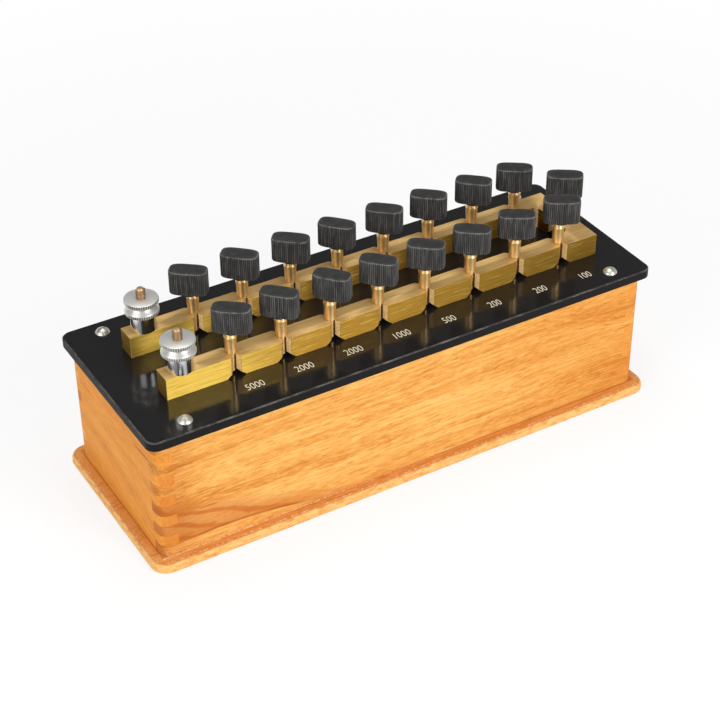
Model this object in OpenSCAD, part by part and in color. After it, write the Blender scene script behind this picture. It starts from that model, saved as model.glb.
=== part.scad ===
// Plug resistance box: two rows of brass blocks on an ebonite panel, bridged by tapered plugs,
// over a finger-jointed wooden case that holds the resistance coils.
// Millimetres, +Z up, +X along the rows, origin at the middle of the underside of the base board.

/* [Case] */
// Distance from the left end of the block rows to the outside of the case
left_margin = 17.2; // [12:0.2:24]
// Distance from the right end of the block rows to the outside of the case
right_margin = 12.4; // [10:0.2:24]
// Distance from the axis of a block row to the outside of the case
side_margin = 26.4; // [22:0.1:34]
// Height of the four walls
wall_h = 62; // [56:1:90]
// Thickness of the four walls
wall_t = 8; // [6:0.5:10]
// Radius of the upright corners of the case
case_corner_r = 5; // [1:0.5:7]
// Number of fingers and notches up each corner
finger_count = 11; // [5:2:15]

/* [Base board] */
// Thickness of the base board
base_t = 5; // [4:0.5:8]
// How far the base board stands out beyond the walls
base_over = 5.6; // [4:0.1:8]
// Radius of the corners of the base board in plan
base_corner_r = 8; // [5:0.5:12]
// Radius of the rounded nose along the upper edge
base_nose_r = 2.8; // [1:0.2:3.4]
// Radius that eases the lower edge
base_foot_r = 1; // [0.4:0.2:1.4]

/* [Panel] */
// Thickness of the ebonite panel
panel_t = 4.5; // [4:0.5:8]
// How far the panel stands out beyond the walls
panel_over = 3.2; // [2:0.2:6]
// Radius of the corners of the panel in plan
panel_corner_r = 5; // [3:0.5:8]
// Bevel along the upper edge of the panel
panel_bevel = 0.6; // [0.2:0.1:1.2]

/* [Brass blocks] */
// Distance between the axes of the front and rear rows
row_spacing = 36.6; // [34:0.1:46]
// Distance from one plug to the next along a row
plug_pitch = 25; // [25:0.5:32]
// Width of the bars
bar_w = 9.7; // [9:0.1:12]
// Height of the bars
bar_h = 10.7; // [9:0.1:14]
// Length of a terminal block, up to the middle of the first gap
terminal_block_l = 33.8; // [32:0.2:44]
// Length of an end block, from the middle of the last gap
end_block_l = 19.6; // [18:0.2:26]
// Width of the cross leg of an end block
leg_w = 9.5; // [9:0.1:12]
// Radius in the inner corner of an end block
leg_fillet_r = 4; // [1:0.5:5]
// Gap between neighbouring blocks
block_gap = 1.4; // [0.8:0.1:2]
// Chamfer on the upright edges of a block beside a gap
block_chamfer = 1.7; // [0.8:0.1:1.8]
// Reach of the sloped undercut at the foot of a block beside a gap
block_undercut_l = 4; // [1:0.1:4.6]
// Height of that undercut at the gap
block_undercut_h = 3.3; // [0.6:0.1:4.4]

/* [Plugs] */
// Diameter of the tapered pin where it enters the blocks
pin_d = 4.7; // [4:0.1:5.2]
// Diameter that the pin gains for each millimetre upwards
pin_taper = 0.08; // [0.04:0.01:0.12]
// Ease on the edges of the pin's tip and shoulder
pin_ease = 0.5; // [0.2:0.1:0.8]
// Clearance of the pin's tip above the panel
pin_tip_gap = 1.2; // [0.6:0.1:2]
// Height of the knob's underside above the blocks
pin_rise = 11.3; // [8:0.1:16]
// Diameter of the shoulder under the knob
shoulder_d = 6.1; // [5.8:0.1:7]
// Height of the shoulder under the knob
shoulder_h = 2.8; // [1.6:0.1:4]
// Diameter of the stem that the knob is moulded on
stem_d = 4; // [3:0.1:4.4]
// Length of the stem inside the knob
stem_l = 8; // [5:0.5:9]
// Length of the knob
knob_l = 17.6; // [14:0.2:20]
// Width of the knob
knob_w = 9.4; // [8:0.2:12]
// Height of the knob
knob_h = 11.8; // [11:0.2:16]
// Squareness of the knob's oval outline
knob_squareness = 3.6; // [2:0.2:5]
// Number of flutes round the knob
flute_count = 52; // [24:2:60]
// Depth of the flutes
flute_depth = 0.35; // [0.1:0.05:0.6]
// Height of the bevel round the top and the foot of the knob
knob_bevel = 0.6; // [0.3:0.1:1.2]
// Diameter of the round boss under the knob
boss_d = 8.2; // [7:0.2:8.8]
// Height of the round boss under the knob
boss_h = 0.6; // [0.3:0.1:1.2]

/* [Terminals] */
// Distance from the left end of a terminal block to its stud
stud_inset = 9; // [7:0.2:12]
// Diameter of the threaded stud where it stands free
stud_d = 4.5; // [4:0.1:5]
// Diameter of the stud below that, where other pieces are on it
stud_core_d = 4; // [3.4:0.1:4.2]
// Length of stud that stands free above the thumb nut
stud_free = 5.2; // [3:0.2:8]
// Chamfer on the stud's free end
stud_chamfer = 0.5; // [0.2:0.1:0.8]
// Length of stud that stands out below its lock nut
stud_foot = 1; // [0.4:0.2:3]
// Diameter of the plated collar on the block
collar_d = 11.8; // [9.2:0.1:13]
// Height of the plated collar
collar_h = 8.3; // [6:0.1:10]
// Diameter of the thumb nut's rims
nut_d = 15.7; // [13:0.1:18]
// Height of the thumb nut
nut_h = 7.6; // [6.6:0.1:10]
// Thickness of the thumb nut's upper rim
nut_rim_t = 2.5; // [1.6:0.1:2.8]
// Thickness of the thumb nut's lower rim
nut_lower_rim_t = 2.8; // [2:0.1:3.2]
// Diameter at the bottom of the groove round the thumb nut
nut_waist_d = 11.6; // [10:0.1:12.4]
// Bevel on the edges of the thumb nut
nut_edge = 0.3; // [0.1:0.1:0.6]
// Width of the hexagon lock nut across its flats
locknut_w = 8; // [7:0.1:10]
// Height of the hexagon lock nut
locknut_h = 3.2; // [2.4:0.1:4]

/* [Screws] */
// Distance of the panel screws from the ends of the case
panel_screw_inset = 15; // [11:0.2:20]
// Diameter of the panel screws' round heads
panel_screw_head_d = 6.8; // [5:0.1:7]
// Height of the panel screws' round heads
panel_screw_head_h = 2.1; // [1.4:0.1:2.4]
// Width of the slot in a panel screw
slot_w = 0.9; // [0.6:0.1:1.2]
// Depth of the slot in a panel screw
slot_depth = 1; // [0.6:0.1:1.2]
// Diameter of the wood screws' shanks
wood_screw_d = 3; // [2.4:0.1:3.4]
// Length of the wood screws' shanks in the walls
wood_screw_l = 14; // [10:1:18]
// Distance of the outer base screws from the ends of the case
base_screw_inset = 38; // [24:1:50]
// Diameter of the base screws' sunk heads
base_screw_head_d = 6; // [5:0.1:6.6]
// Depth of those heads below the underside of the base board
base_screw_sink = 0.3; // [0.1:0.1:0.8]
// Distance of a block screw from the gap beside it
block_screw_inset = 8.5; // [8.4:0.1:9.4]
// Diameter of the block screws' shanks
block_screw_d = 3.4; // [3:0.1:4]
// Length of thread that a block screw has in its block
block_screw_grip = 6; // [4:0.5:7]
// Diameter of the block screws' heads
block_screw_head_d = 5.5; // [4.6:0.1:6]
// Height of the block screws' heads
block_screw_head_h = 2.2; // [1.6:0.1:3]

/* [Coils] */
// Diameter of the bobbins' flanges
bobbin_d = 15; // [13:0.1:15]
// Diameter of the bobbins' cores
bobbin_core_d = 7; // [6.4:0.1:8]
// Thickness of the bobbins' flanges
bobbin_flange_t = 2; // [1.4:0.1:3]
// Length of the winding on a bobbin
winding_l = 24; // [16:1:30]
// Diameter of the winding
winding_d = 12.4; // [10:0.1:12.6]
// Length of the neck that holds a bobbin clear of the block screws
bobbin_neck_l = 5; // [4:0.5:7]
// Diameter of that neck
bobbin_neck_d = 5.6; // [5:0.1:6]
// Diameter of the screw through a bobbin
bobbin_screw_d = 3; // [2.4:0.1:3.2]
// Depth of that screw in the panel
bobbin_screw_grip = 2.6; // [1.6:0.1:3]
// Diameter of that screw's head
bobbin_screw_head_d = 6; // [5:0.1:8]
// Height of that screw's head
bobbin_screw_head_h = 2; // [1.4:0.1:3]
// Diameter of the leads from a winding to the block screws
lead_d = 0.8; // [0.5:0.1:1]
// Drop of the leads below the top of the winding
lead_drop = 3; // [2:0.5:8]
// Gap between the leads and the flanges that they pass
lead_gap = 0.6; // [0.2:0.1:1]

/* [Fits] */
// Radial clearance of a pin in its tapered socket
socket_clearance = 0.06; // [0.02:0.01:0.1]
// Radial clearance of a thumb nut on its stud
thread_clearance = 0.05; // [0.02:0.01:0.1]
// Radial clearance of screws and studs in plain holes
hole_clearance = 0.1; // [0.05:0.05:0.3]
// Gap between faces that are only set beside each other
seat_gap = 0.1; // [0.05:0.05:0.2]

/* [Hidden] */
$fn = 48;
// How far cutters run past the faces that they cut
CUT_OVER = 1;
PLUGS_PER_ROW = 8;
PLUG_COUNT = 2 * PLUGS_PER_ROW + 1;
// Turn of each knob about its pin, front row, rear row and end plug
FRONT_TURNS = [-39, -46, -51, -45, -40, -38, -32, -32];
REAR_TURNS = [-39, -43, -41, -48, -42, -41, -42, -35];
END_TURN = -35;
// How far each knob sits off its pin along the row, as moulded by hand
FRONT_SHIFTS = [1.2, -0.2, 1.4, 0.5, 0.6, 0.6, 0.6, 1.3];
REAR_SHIFTS = [-1.3, -0.6, 0.7, 0, 0.7, 0.2, 0.7, -0.6];
END_SHIFT = 1.3;
// Turn of the slot in each panel screw, and its shift from an even place, as drilled by hand
SLOT_TURNS = [65, 20, 100, -30];
SCREW_SHIFTS = [[2.6, 1.4], [-0.3, -1.2], [-1, 1], [0, 0.5]];
function two_digits(i) = str(i < 10 ? "0" : "", i);
PLUG_NUMBERS = [for (i = [1 : PLUG_COUNT]) two_digits(i)];

// Plan of the rows and the case round them
row_l = terminal_block_l + (PLUGS_PER_ROW - 1) * plug_pitch + end_block_l;
case_l = left_margin + row_l + right_margin;
case_w = row_spacing + 2 * side_margin;
row_left = -case_l / 2 + left_margin;
row_right = row_left + row_l;
front_y = -row_spacing / 2;
stud_x = row_left + stud_inset;
end_plug_x = row_right - leg_w / 2;
function gap_x(i) = row_left + terminal_block_l + i * plug_pitch;

// Heights, from the underside of the base board
wall_top = base_t + wall_h;
panel_top = wall_top + panel_t;
block_top = panel_top + bar_h;
collar_top = block_top + collar_h;
nut_bottom = collar_top + seat_gap;
nut_top = nut_bottom + nut_h;
stud_top = nut_top + stud_free;
knob_bottom = block_top + pin_rise;
boss_bottom = knob_bottom - boss_h;
bobbin_top = wall_top - bobbin_neck_l;
winding_top = bobbin_top - bobbin_flange_t;
bobbin_bottom = winding_top - winding_l - bobbin_flange_t;

// Places of what repeats
EVEN_SCREWS = [for (sx = [-1, 1], sy = [-1, 1])
    [sx * (case_l / 2 - panel_screw_inset), sy * (case_w - wall_t) / 2]];
PANEL_SCREWS = EVEN_SCREWS + SCREW_SHIFTS;
base_screw_x = case_l / 2 - base_screw_inset;
BASE_SCREWS = [for (x = [-base_screw_x, 0, base_screw_x], sy = [-1, 1]) [x, sy * (case_w - wall_t) / 2]];
COILS = [for (y = [front_y, -front_y], i = [0 : PLUGS_PER_ROW - 1]) [gap_x(i), y]];
leg_screw_y = -block_gap / 2 - leg_w / 2 - pin_d / 2;
BLOCK_SCREWS = concat(
    [for (c = COILS, side = [-1, 1]) [c[0] + side * block_screw_inset, c[1]]],
    [for (sy = [-1, 1]) [end_plug_x, sy * leg_screw_y]]
);
STUDS = [[stud_x, front_y], [stud_x, -front_y]];
PLUGS = concat(
    [for (i = [0 : PLUGS_PER_ROW - 1]) [gap_x(i), front_y, FRONT_TURNS[i], FRONT_SHIFTS[i]]],
    [for (i = [0 : PLUGS_PER_ROW - 1]) [gap_x(i), -front_y, REAR_TURNS[i], REAR_SHIFTS[i]]],
    [[end_plug_x, 0, END_TURN, END_SHIFT]]
);

// Diameter of a pin at a height above the blocks
function pin_d_at(z) = pin_d + pin_taper * z;

// Oval outline of a knob, with its points evenly spaced along the edge
OVAL_STEPS = 720;
OVAL_ANGLES = [for (i = [0 : OVAL_STEPS]) 360 * i / OVAL_STEPS];
function power(v, e) = sign(v) * pow(abs(v), e);
function oval(a, inset) = [
    (knob_l / 2 - inset) * power(cos(a), 2 / knob_squareness),
    (knob_w / 2 - inset) * power(sin(a), 2 / knob_squareness)
];
OVAL_LENGTHS = [for (i = 0, s = 0; i <= OVAL_STEPS;
    s = s + norm(oval(OVAL_ANGLES[min(i + 1, OVAL_STEPS)], 0) - oval(OVAL_ANGLES[i], 0)), i = i + 1) s];
OVAL_TABLE = [for (i = [0 : OVAL_STEPS]) [OVAL_LENGTHS[i], OVAL_ANGLES[i]]];
function oval_angle(share) = lookup(share * OVAL_LENGTHS[OVAL_STEPS], OVAL_TABLE);

module rounded_rectangle(l, w, r) {
    square([l - 2 * r, w], center = true);
    square([l, w - 2 * r], center = true);
    for (sx = [-1, 1], sy = [-1, 1])
        translate([sx * (l / 2 - r), sy * (w / 2 - r)])
            circle(r);
}

// Board with rounded corners, whose edge all round has the profile given as a child.
// The profile runs outwards from the axis of a corner.
module moulded_board(l, w, r, t) {
    half_l = l / 2 - r;
    half_w = w / 2 - r;
    translate([-half_l, -half_w, 0])
        cube([2 * half_l, 2 * half_w, t]);
    for (s = [0, 180]) {
        rotate(s)
            translate([half_l, 0, 0])
                rotate([90, 0, 0])
                    linear_extrude(2 * half_w, center = true)
                        children();
        rotate(s + 90)
            translate([half_w, 0, 0])
                rotate([90, 0, 0])
                    linear_extrude(2 * half_l, center = true)
                        children();
        rotate(s)
            translate([half_l, half_w, 0])
                rotate_extrude(angle = 90)
                    children();
        rotate(s)
            translate([-half_l, half_w, 0])
                rotate(90)
                    rotate_extrude(angle = 90)
                        children();
    }
}

// Cutter that leaves a corner of radius r, with the corner at the origin and the body at -x, -y
module corner_cutter(r) {
    difference() {
        translate([-r, -r])
            square(r + CUT_OVER);
        translate([-r, -r])
            circle(r);
    }
}

module base_board() {
    color("sienna")
        difference() {
            moulded_board(case_l + 2 * base_over, case_w + 2 * base_over, base_corner_r, base_t)
                difference() {
                    square([base_corner_r, base_t]);
                    translate([base_corner_r, base_t])
                        corner_cutter(base_nose_r);
                    translate([base_corner_r, 0])
                        mirror([0, 1])
                            corner_cutter(base_foot_r);
                }
            for (p = BASE_SCREWS)
                translate([p[0], p[1], 0])
                    base_screw_form(hole_clearance);
        }
}

// Outline of a sunk screw that enters the walls from below, grown by a clearance
module base_screw_form(grow) {
    head_r = base_screw_head_d / 2 + grow;
    shank_r = wood_screw_d / 2 + grow;
    cone_top = base_screw_sink + (base_screw_head_d - wood_screw_d) / 2;
    start = grow > 0 ? -CUT_OVER : base_screw_sink;
    rotate_extrude()
        polygon([
            [0, start], [head_r, start], [head_r, base_screw_sink], [shank_r, cone_top],
            [shank_r, base_t + wood_screw_l + grow], [0, base_t + wood_screw_l + grow]
        ]);
}

module base_screws() {
    color("silver")
        for (p = BASE_SCREWS)
            translate([p[0], p[1], 0])
                base_screw_form(0);
}

// The case as one upright block with rounded corners, which trims the walls
module case_block() {
    translate([0, 0, base_t])
        linear_extrude(wall_h)
            rounded_rectangle(case_l, case_w, case_corner_r);
}

// The interlocking fingers of the short walls, at both ends of one short wall
module short_wall_fingers(side) {
    finger_h = wall_h / finger_count;
    for (i = [1 : 2 : finger_count - 1], sy = [-1, 1])
        translate([side * (case_l - wall_t) / 2, sy * (case_w - wall_t) / 2, base_t + (i + 0.5) * finger_h])
            cube([wall_t, wall_t, finger_h], center = true);
}

module long_wall(side) {
    color("peru")
        intersection() {
            case_block();
            difference() {
                translate([0, side * (case_w - wall_t) / 2, base_t + wall_h / 2])
                    cube([case_l, wall_t, wall_h], center = true);
                short_wall_fingers(-1);
                short_wall_fingers(1);
                for (p = PANEL_SCREWS)
                    translate([p[0], p[1], 0])
                        panel_screw_shank(hole_clearance);
                for (p = BASE_SCREWS)
                    translate([p[0], p[1], 0])
                        base_screw_form(hole_clearance);
            }
        }
}

module short_wall(side) {
    color("peru")
        intersection() {
            case_block();
            union() {
                translate([side * (case_l - wall_t) / 2, 0, base_t + wall_h / 2])
                    cube([wall_t, case_w - 2 * wall_t, wall_h], center = true);
                short_wall_fingers(side);
            }
        }
}

module front_wall() { long_wall(-1); }
module rear_wall() { long_wall(1); }
module left_wall() { short_wall(-1); }
module right_wall() { short_wall(1); }

module top_panel() {
    color("#2b2b2d")
        difference() {
            translate([0, 0, wall_top])
                moulded_board(case_l + 2 * panel_over, case_w + 2 * panel_over, panel_corner_r, panel_t)
                    polygon([
                        [0, 0], [panel_corner_r, 0], [panel_corner_r, panel_t - panel_bevel],
                        [panel_corner_r - panel_bevel, panel_t], [0, panel_t]
                    ]);
            for (p = PANEL_SCREWS)
                translate([p[0], p[1], 0])
                    panel_screw_shank(hole_clearance);
            for (p = BLOCK_SCREWS)
                translate([p[0], p[1], wall_top - CUT_OVER])
                    cylinder(h = panel_t + 2 * CUT_OVER, d = block_screw_d + 2 * hole_clearance);
            for (p = STUDS)
                translate([p[0], p[1], wall_top - CUT_OVER])
                    cylinder(h = panel_t + 2 * CUT_OVER, d = stud_core_d + 2 * hole_clearance);
            for (p = COILS)
                translate([p[0], p[1], wall_top])
                    deep_hole(bobbin_screw_grip, bobbin_screw_d);
        }
}

// Shank of a panel screw, from the panel's top down into the wall, grown by a clearance
module panel_screw_shank(grow) {
    over = grow > 0 ? CUT_OVER : 0;
    translate([0, 0, wall_top - wood_screw_l - grow])
        cylinder(h = wood_screw_l + grow + panel_t + over, d = wood_screw_d + 2 * grow);
}

module panel_screws() {
    dome_r = (pow(panel_screw_head_h, 2) + pow(panel_screw_head_d / 2, 2)) / (2 * panel_screw_head_h);
    color("gainsboro")
        for (i = [0 : len(PANEL_SCREWS) - 1])
            translate([PANEL_SCREWS[i][0], PANEL_SCREWS[i][1], 0]) {
                panel_screw_shank(0);
                translate([0, 0, panel_top])
                    difference() {
                        rotate_extrude()
                            intersection() {
                                translate([0, panel_screw_head_h - dome_r])
                                    circle(dome_r);
                                square([panel_screw_head_d / 2, panel_screw_head_h]);
                            }
                        rotate(SLOT_TURNS[i])
                            translate([0, 0, panel_screw_head_h])
                                cube([panel_screw_head_d + CUT_OVER, slot_w, 2 * slot_depth], center = true);
                    }
            }
}

// Tapered hole that a pin fits, through the blocks
module socket() {
    translate([0, 0, -CUT_OVER])
        cylinder(
            h = bar_h + 2 * CUT_OVER,
            d1 = pin_d_at(-bar_h - CUT_OVER) + 2 * socket_clearance,
            d2 = pin_d_at(CUT_OVER) + 2 * socket_clearance
        );
}

// Cutter for the sloped foot of a block end at x = 0, with the block at negative x
module undercut() {
    rotate([90, 0, 0])
        linear_extrude(2 * bar_w, center = true)
            polygon([
                [-block_undercut_l, 0], [0, block_undercut_h], [CUT_OVER, block_undercut_h],
                [CUT_OVER, -CUT_OVER], [-block_undercut_l, -CUT_OVER]
            ]);
}

// Blind hole upwards from z = 0 for a screw or stem of the given depth and diameter
module deep_hole(depth, d) {
    translate([0, 0, -CUT_OVER])
        cylinder(h = CUT_OVER + depth + hole_clearance, d = d + 2 * hole_clearance);
}

module block_screw_hole() {
    deep_hole(block_screw_grip, block_screw_d);
}

// Bar from x0 to x1 along a row, with its gap ends chamfered and undercut
module row_bar(x0, x1, left_is_gap) {
    half = bar_w / 2;
    c = block_chamfer;
    left_end = left_is_gap
        ? [[x0 + c, half], [x0, half - c], [x0, c - half], [x0 + c, -half]]
        : [[x0, half], [x0, -half]];
    difference() {
        linear_extrude(bar_h)
            polygon(concat(left_end, [[x1 - c, -half], [x1, c - half], [x1, half - c], [x1 - c, half]]));
        translate([x1, 0, 0])
            undercut();
        if (left_is_gap)
            translate([x0, 0, 0])
                rotate(180)
                    undercut();
    }
}

module terminal_block(y) {
    color("goldenrod")
        translate([0, y, panel_top])
            difference() {
                row_bar(row_left, gap_x(0) - block_gap / 2, false);
                translate([gap_x(0), 0, 0])
                    socket();
                translate([gap_x(0) - block_screw_inset, 0, 0])
                    block_screw_hole();
                translate([stud_x, 0, -CUT_OVER])
                    cylinder(h = bar_h + 2 * CUT_OVER, d = stud_core_d + 2 * hole_clearance);
            }
}

module row_blocks(y) {
    color("goldenrod")
        translate([0, y, panel_top])
            for (i = [0 : PLUGS_PER_ROW - 2])
                difference() {
                    row_bar(gap_x(i) + block_gap / 2, gap_x(i + 1) - block_gap / 2, true);
                    for (x = [gap_x(i), gap_x(i + 1)])
                        translate([x, 0, 0])
                            socket();
                    for (x = [gap_x(i) + block_screw_inset, gap_x(i + 1) - block_screw_inset])
                        translate([x, 0, 0])
                            block_screw_hole();
                }
}

// Angled block at the right end of the front row, with its leg reaching to the middle of the box
module end_block() {
    c = block_chamfer;
    half = bar_w / 2;
    last_gap_x = gap_x(PLUGS_PER_ROW - 1);
    x0 = last_gap_x + block_gap / 2;
    leg_x = row_right - leg_w;
    leg_end = -block_gap / 2;
    color("goldenrod")
        translate([0, 0, panel_top])
            difference() {
                linear_extrude(bar_h) {
                    polygon([
                        [x0 + c, front_y - half], [row_right, front_y - half],
                        [row_right, leg_end - c], [row_right - c, leg_end],
                        [leg_x + c, leg_end], [leg_x, leg_end - c],
                        [leg_x, front_y + half], [x0 + c, front_y + half],
                        [x0, front_y + half - c], [x0, front_y - half + c]
                    ]);
                    translate([leg_x - leg_fillet_r, front_y + half])
                        difference() {
                            square(leg_fillet_r);
                            translate([0, leg_fillet_r])
                                circle(leg_fillet_r);
                        }
                }
                translate([x0, front_y, 0])
                    rotate(180)
                        undercut();
                translate([end_plug_x, leg_end, 0])
                    rotate(90)
                        undercut();
                translate([last_gap_x, front_y, 0])
                    socket();
                translate([end_plug_x, 0, 0])
                    socket();
                translate([last_gap_x + block_screw_inset, front_y, 0])
                    block_screw_hole();
                translate([end_plug_x, leg_screw_y, 0])
                    block_screw_hole();
            }
}

module terminal_block_front() { terminal_block(front_y); }
module terminal_block_rear() { terminal_block(-front_y); }
module front_row_blocks() { row_blocks(front_y); }
module rear_row_blocks() { row_blocks(-front_y); }
module end_block_front() { end_block(); }
module end_block_rear() { mirror([0, 1, 0]) end_block(); }

module block_screws() {
    color("darkgoldenrod")
        for (p = BLOCK_SCREWS)
            translate([p[0], p[1], wall_top]) {
                translate([0, 0, -block_screw_head_h])
                    cylinder(h = block_screw_head_h, d = block_screw_head_d);
                cylinder(h = panel_t + block_screw_grip, d = block_screw_d);
            }
}

// Stud, drawn at its core diameter where the lock nut, the collar and the thumb nut are on it
module terminal_studs() {
    crest_r = stud_d / 2;
    core_r = stud_core_d / 2;
    foot = wall_top - locknut_h - stud_foot;
    free_foot = nut_top + seat_gap;
    color("#b5823f")
        for (p = STUDS)
            translate([p[0], p[1], 0])
                rotate_extrude()
                    polygon([
                        [0, foot], [core_r, foot], [core_r, free_foot], [crest_r, free_foot],
                        [crest_r, stud_top - stud_chamfer], [crest_r - stud_chamfer, stud_top], [0, stud_top]
                    ]);
}

module terminal_collars() {
    color("lightgray")
        for (p = STUDS)
            translate([p[0], p[1], block_top])
                difference() {
                    cylinder(h = collar_h, d = collar_d);
                    translate([0, 0, -CUT_OVER])
                        cylinder(h = collar_h + 2 * CUT_OVER, d = stud_core_d + 2 * hole_clearance);
                }
}

module terminal_locknuts() {
    across_corners = locknut_w / cos(30);
    color("darkgoldenrod")
        for (p = STUDS)
            translate([p[0], p[1], wall_top - locknut_h])
                difference() {
                    cylinder(h = locknut_h, d = across_corners, $fn = 6);
                    translate([0, 0, -CUT_OVER])
                        cylinder(h = locknut_h + 2 * CUT_OVER, d = stud_core_d + 2 * hole_clearance);
                }
}

// Spool-shaped thumb nut: a rounded lower rim, a groove and an upper rim, with a bore for the stud
module thumb_nut(p) {
    bore_r = stud_core_d / 2 + thread_clearance;
    rim_r = nut_d / 2;
    groove_half = (nut_h - nut_lower_rim_t - nut_rim_t) / 2;
    groove_z = nut_lower_rim_t + groove_half;
    color("silver")
        translate([p[0], p[1], nut_bottom])
            rotate_extrude()
                difference() {
                    polygon([
                        [bore_r, 0], [collar_d / 2, 0], [rim_r - 2 * nut_edge, 2 * nut_edge],
                        [rim_r, nut_lower_rim_t / 2], [rim_r, nut_h - nut_edge],
                        [rim_r - nut_edge, nut_h], [bore_r, nut_h]
                    ]);
                    translate([rim_r, groove_z])
                        ellipse(rim_r - nut_waist_d / 2, groove_half);
                }
}

// Ellipse with half axes a and b
module ellipse(a, b) {
    points = 24;
    polygon([for (i = [0 : points - 1]) [a * cos(360 * i / points), b * sin(360 * i / points)]]);
}

module thumb_nut_front() { thumb_nut(STUDS[0]); }
module thumb_nut_rear() { thumb_nut(STUDS[1]); }

module plug_pin(plug) {
    shoulder_r = shoulder_d / 2;
    shoulder_top = pin_rise - boss_h;
    shoulder_z = shoulder_top - shoulder_h;
    tip_z = pin_tip_gap - bar_h;
    tip_r = pin_d_at(tip_z) / 2;
    top_r = pin_d_at(shoulder_z) / 2;
    stem_top = pin_rise + stem_l;
    color("#c8964f")
        translate([plug[0], plug[1], block_top])
            rotate_extrude()
                polygon([
                    [0, tip_z], [tip_r - pin_ease, tip_z], [pin_d_at(tip_z + pin_ease) / 2, tip_z + pin_ease],
                    [top_r, shoulder_z], [shoulder_r, shoulder_z + shoulder_r - top_r],
                    [shoulder_r, shoulder_top - pin_ease], [shoulder_r - pin_ease, shoulder_top],
                    [stem_d / 2, shoulder_top], [stem_d / 2, stem_top], [0, stem_top]
                ]);
}

// Bevelled end of a knob, from its fluted height at z = 0 to its flat face at z = knob_bevel
module knob_end() {
    end_points = 32;
    face_t = knob_bevel / 6;
    angles = [for (i = [0 : end_points - 1]) oval_angle(i / end_points)];
    hull() {
        linear_extrude(face_t)
            polygon([for (a = angles) oval(a, flute_depth)]);
        translate([0, 0, knob_bevel - face_t])
            linear_extrude(face_t)
                polygon([for (a = angles) oval(a, flute_depth + knob_bevel)]);
    }
}

// Oval knob with upright flutes, a bevelled top and foot, and a round boss underneath
module plug_knob(plug) {
    flute_points = 2 * flute_count;
    fluted = [for (i = [0 : flute_points - 1]) oval(oval_angle(i / flute_points), i % 2 * flute_depth)];
    fluted_h = knob_h - 2 * knob_bevel;
    color("#3c3b3b")
        translate([plug[0], plug[1], knob_bottom])
            difference() {
                translate([plug[3], 0, 0])
                    rotate(plug[2]) {
                        translate([0, 0, knob_bevel])
                            linear_extrude(fluted_h)
                                polygon(fluted);
                        translate([0, 0, knob_bevel + fluted_h])
                            knob_end();
                        translate([0, 0, knob_bevel])
                            mirror([0, 0, 1])
                                knob_end();
                        translate([0, 0, -boss_h])
                            cylinder(h = boss_h + knob_bevel, d = boss_d);
                    }
                translate([0, 0, -boss_h])
                    deep_hole(boss_h + stem_l, stem_d);
            }
}

module coil_bobbins() {
    color("burlywood")
        for (p = COILS)
            translate([p[0], p[1], 0])
                difference() {
                    union() {
                        translate([0, 0, bobbin_bottom])
                            cylinder(h = bobbin_flange_t, d = bobbin_d);
                        translate([0, 0, bobbin_bottom])
                            cylinder(h = bobbin_top - bobbin_bottom, d = bobbin_core_d);
                        translate([0, 0, winding_top])
                            cylinder(h = bobbin_flange_t, d = bobbin_d);
                        translate([0, 0, winding_top])
                            cylinder(h = wall_top - winding_top, d = bobbin_neck_d);
                    }
                    translate([0, 0, bobbin_bottom])
                        deep_hole(wall_top - bobbin_bottom + CUT_OVER, bobbin_screw_d);
                }
}

module coil_windings() {
    color("darkgreen")
        for (p = COILS)
            translate([p[0], p[1], winding_top - winding_l + seat_gap])
                difference() {
                    cylinder(h = winding_l - 2 * seat_gap, d = winding_d);
                    deep_hole(winding_l, bobbin_core_d);
                }
}

// Wire from the head of each block screw down beside a bobbin and in to its winding
module coil_leads() {
    lead_top = wall_top - block_screw_head_h - seat_gap;
    lead_z = winding_top - lead_drop;
    lead_end = winding_d / 2 + seat_gap;
    lead_x = bobbin_d / 2 + lead_gap + lead_d / 2;
    color("#b87333")
        for (p = COILS, side = [0, 180])
            translate([p[0], p[1], lead_z])
                rotate(side) {
                    translate([lead_x, 0, 0])
                        cylinder(h = lead_top - lead_z, d = lead_d);
                    translate([lead_x, 0, 0])
                        sphere(d = lead_d);
                    translate([lead_end, 0, 0])
                        rotate([0, 90, 0])
                            cylinder(h = lead_x - lead_end, d = lead_d);
                }
}

module bobbin_screws() {
    color("darkgoldenrod")
        for (p = COILS)
            translate([p[0], p[1], 0]) {
                translate([0, 0, bobbin_bottom - bobbin_screw_head_h])
                    cylinder(h = bobbin_screw_head_h, d = bobbin_screw_head_d);
                translate([0, 0, bobbin_bottom])
                    cylinder(h = wall_top + bobbin_screw_grip - bobbin_bottom, d = bobbin_screw_d);
            }
}

base_board();
front_wall();
rear_wall();
left_wall();
right_wall();
top_panel();
terminal_block_front();
terminal_block_rear();
front_row_blocks();
rear_row_blocks();
end_block_front();
end_block_rear();
terminal_studs();
terminal_collars();
terminal_locknuts();
thumb_nut_front();
thumb_nut_rear();
panel_screws();
base_screws();
block_screws();
coil_bobbins();
coil_windings();
coil_leads();
bobbin_screws();
for (i = [0 : PLUG_COUNT - 1])
    plug_pin(PLUGS[i]);
for (i = [0 : PLUG_COUNT - 1])
    plug_knob(PLUGS[i]);
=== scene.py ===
"""Looks of a plug resistance box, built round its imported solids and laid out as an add-on."""

import math

import bmesh
import bpy
from bpy.props import FloatProperty, FloatVectorProperty, IntProperty, PointerProperty
from mathutils import Matrix, Vector


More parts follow.
